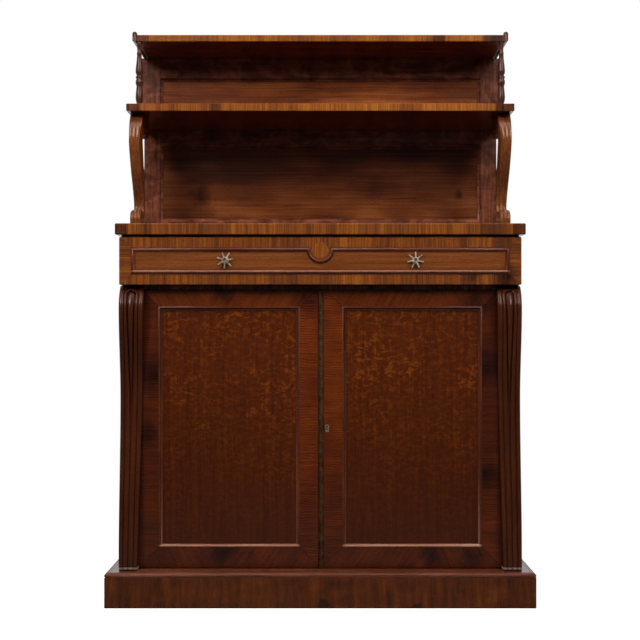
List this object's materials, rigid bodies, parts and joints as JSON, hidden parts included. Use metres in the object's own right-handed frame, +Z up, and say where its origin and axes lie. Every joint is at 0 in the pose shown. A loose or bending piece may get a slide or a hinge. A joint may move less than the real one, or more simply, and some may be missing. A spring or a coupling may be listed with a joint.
{
  "type": "chiffonier",
  "caption": "Regency-style hardwood chiffonier: panelled cupboard between carved pilasters, frieze drawer with star knobs, and open shelves on S-scrolls and turned spindles.",
  "frame": {"origin": "on the floor, under the middle of the bounding box", "axes": "+Z up, front towards -Y, +X to the right as seen from the front"},
  "size_m": [1.1, 0.43, 1.5337],
  "materials": {
    "figured_veneer": "dark figured veneer, old French polish",
    "cross_banding": "orange-brown cross-banded veneer, old French polish",
    "door_frame_veneer": "dark red rippled veneer, old French polish",
    "door_panel_veneer": "blistered figured veneer, old French polish",
    "back_frame_veneer": "dark red-brown veneer, old French polish",
    "back_panel_veneer": "straight-grained red-brown veneer, old French polish",
    "moulding_hardwood": "polished solid hardwood moulding",
    "carved_hardwood": "carved and polished solid hardwood",
    "secondary_wood": "unpolished secondary timber",
    "aged_brass": "aged lacquered brass",
    "dark_brass": "dark patinated brass",
    "steel": "worn bare steel"
  },
  "bodies": {
    "cabinet": {"plinth_front": "figured_veneer", "plinth_left": "figured_veneer", "plinth_right": "figured_veneer", "plinth_back": "secondary_wood", "plinth_moulding": "moulding_hardwood", "carcase_bottom": "figured_veneer", "carcase_side_left": "figured_veneer", "carcase_side_right": "figured_veneer", "carcase_back": "secondary_wood", "drawer_divider": "figured_veneer", "carcase_top_rail": "secondary_wood", "drawer_runner_left": "secondary_wood", "drawer_runner_right": "secondary_wood", "top_slab": "cross_banding", "pilaster_left": "carved_hardwood", "pilaster_right": "carved_hardwood", "cupboard_shelf": "secondary_wood", "shelf_batten_left": "secondary_wood", "shelf_batten_right": "secondary_wood", "back_frame": "back_frame_veneer", "back_panel_lower": "back_panel_veneer", "back_panel_upper": "back_panel_veneer", "shelf_middle": "cross_banding", "shelf_top": "cross_banding", "shelf_ear_left": "carved_hardwood", "shelf_ear_right": "carved_hardwood", "scroll_support_left": "carved_hardwood", "scroll_support_right": "carved_hardwood", "spindle_left": "carved_hardwood", "spindle_right": "carved_hardwood"},
    "drawer": {"drawer_front": "cross_banding", "drawer_side_left": "secondary_wood", "drawer_side_right": "secondary_wood", "drawer_back": "secondary_wood", "drawer_bottom": "secondary_wood", "drawer_moulding": "moulding_hardwood", "star_knob_left": "aged_brass", "star_knob_right": "aged_brass"},
    "door_left": {"door_left_hinge_stile": "door_frame_veneer", "door_left_meeting_stile": "door_frame_veneer", "door_left_top_rail": "door_frame_veneer", "door_left_bottom_rail": "door_frame_veneer", "door_left_panel": "door_panel_veneer", "door_left_moulding": "moulding_hardwood", "door_left_pivot_top": "dark_brass", "door_left_pivot_bottom": "dark_brass", "slide_bolt_case": "aged_brass"},
    "left_bolt": {"slide_bolt": "steel"},
    "door_right": {"door_right_hinge_stile": "door_frame_veneer", "door_right_meeting_stile": "door_frame_veneer", "door_right_top_rail": "door_frame_veneer", "door_right_bottom_rail": "door_frame_veneer", "door_right_panel": "door_panel_veneer", "door_right_moulding": "moulding_hardwood", "door_right_pivot_top": "dark_brass", "door_right_pivot_bottom": "dark_brass", "astragal_strip": "dark_brass", "keyhole_escutcheon": "aged_brass", "lock_case": "steel"},
    "right_lock_bolt": {"lock_bolt": "aged_brass"}
  },
  "joints": [
    {"name": "drawer_slide", "type": "slide", "parent": "cabinet", "child": "drawer", "axis": [0, -1, 0], "range_m": [0, 0.3]},
    {"name": "door_left_swing", "type": "hinge", "parent": "cabinet", "child": "door_left", "pos_m": [-0.4435, -0.15, 0.452], "axis": [0, 0, -1], "range_deg": [0, 90]},
    {"name": "door_right_swing", "type": "hinge", "parent": "cabinet", "child": "door_right", "pos_m": [0.4435, -0.15, 0.452], "axis": [0, 0, 1], "range_deg": [0, 90]},
    {"name": "slide_bolt_travel", "type": "slide", "parent": "door_left", "child": "left_bolt", "axis": [0, 0, 1], "range_m": [0, 0.009]},
    {"name": "lock_bolt_travel", "type": "slide", "parent": "door_right", "child": "right_lock_bolt", "axis": [-1, 0, 0], "range_m": [0, 0.008]}
  ]
}
